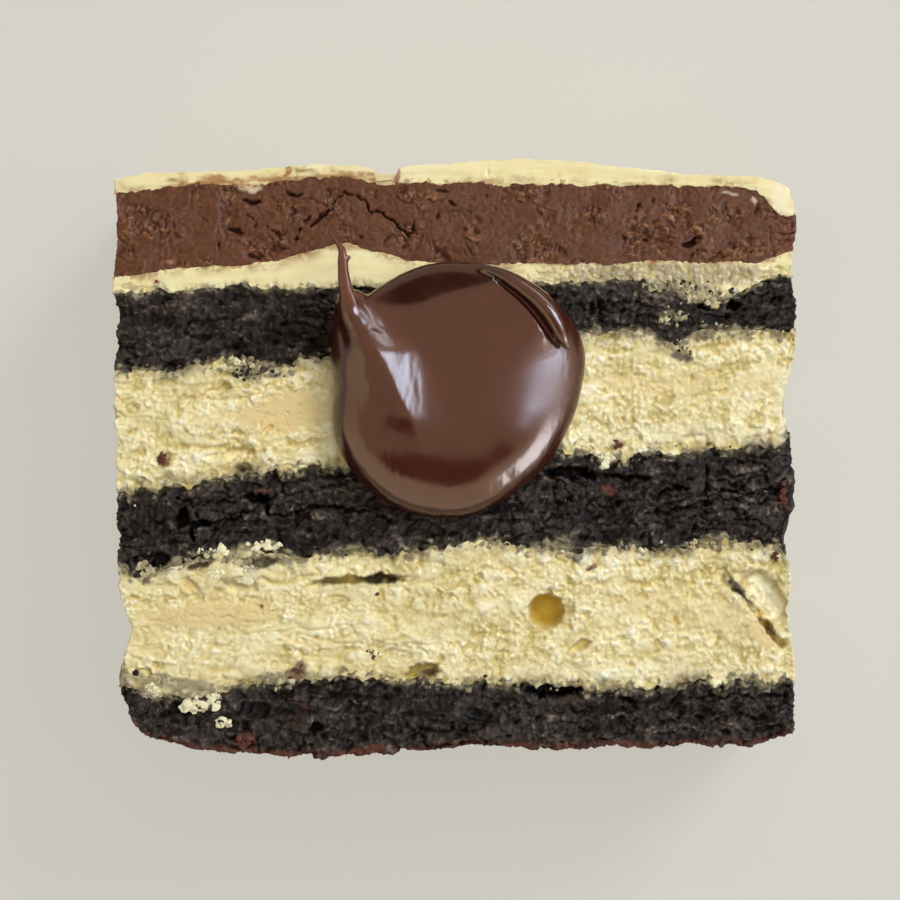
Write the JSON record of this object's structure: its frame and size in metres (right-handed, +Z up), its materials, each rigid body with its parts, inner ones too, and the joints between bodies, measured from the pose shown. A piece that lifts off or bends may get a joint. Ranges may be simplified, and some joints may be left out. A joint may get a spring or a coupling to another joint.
{
  "type": "chocolate vanilla layer cake slice",
  "caption": "Slice of chocolate and vanilla layer cake with fudge, cream and a glossy chocolate dollop, lying on a cut face with its layers shown upwards.",
  "frame": {"origin": "middle of the cut face that the slice rests on", "axes": "+X along the layers, +Y from the baked base towards the cream topping, +Z up to the shown cut face with the dollop"},
  "size_m": [0.0708, 0.0616, 0.0388],
  "materials": {
    "chocolate_cake": "dry dark crumb",
    "vanilla_cake": "moist pale crumb",
    "fudge": "satin, finely cracked",
    "cream": "smooth satin",
    "glossy_chocolate": "wet gloss"
  },
  "bodies": {
    "root": {"chocolate_cake_base": "chocolate_cake", "vanilla_cake_lower": "vanilla_cake", "chocolate_cake_middle": "chocolate_cake", "vanilla_cake_upper": "vanilla_cake", "chocolate_cake_upper": "chocolate_cake", "cream_filling": "cream", "fudge_layer": "fudge", "cream_topping": "cream", "chocolate_dollop": "glossy_chocolate"}
  },
  "joints": []
}
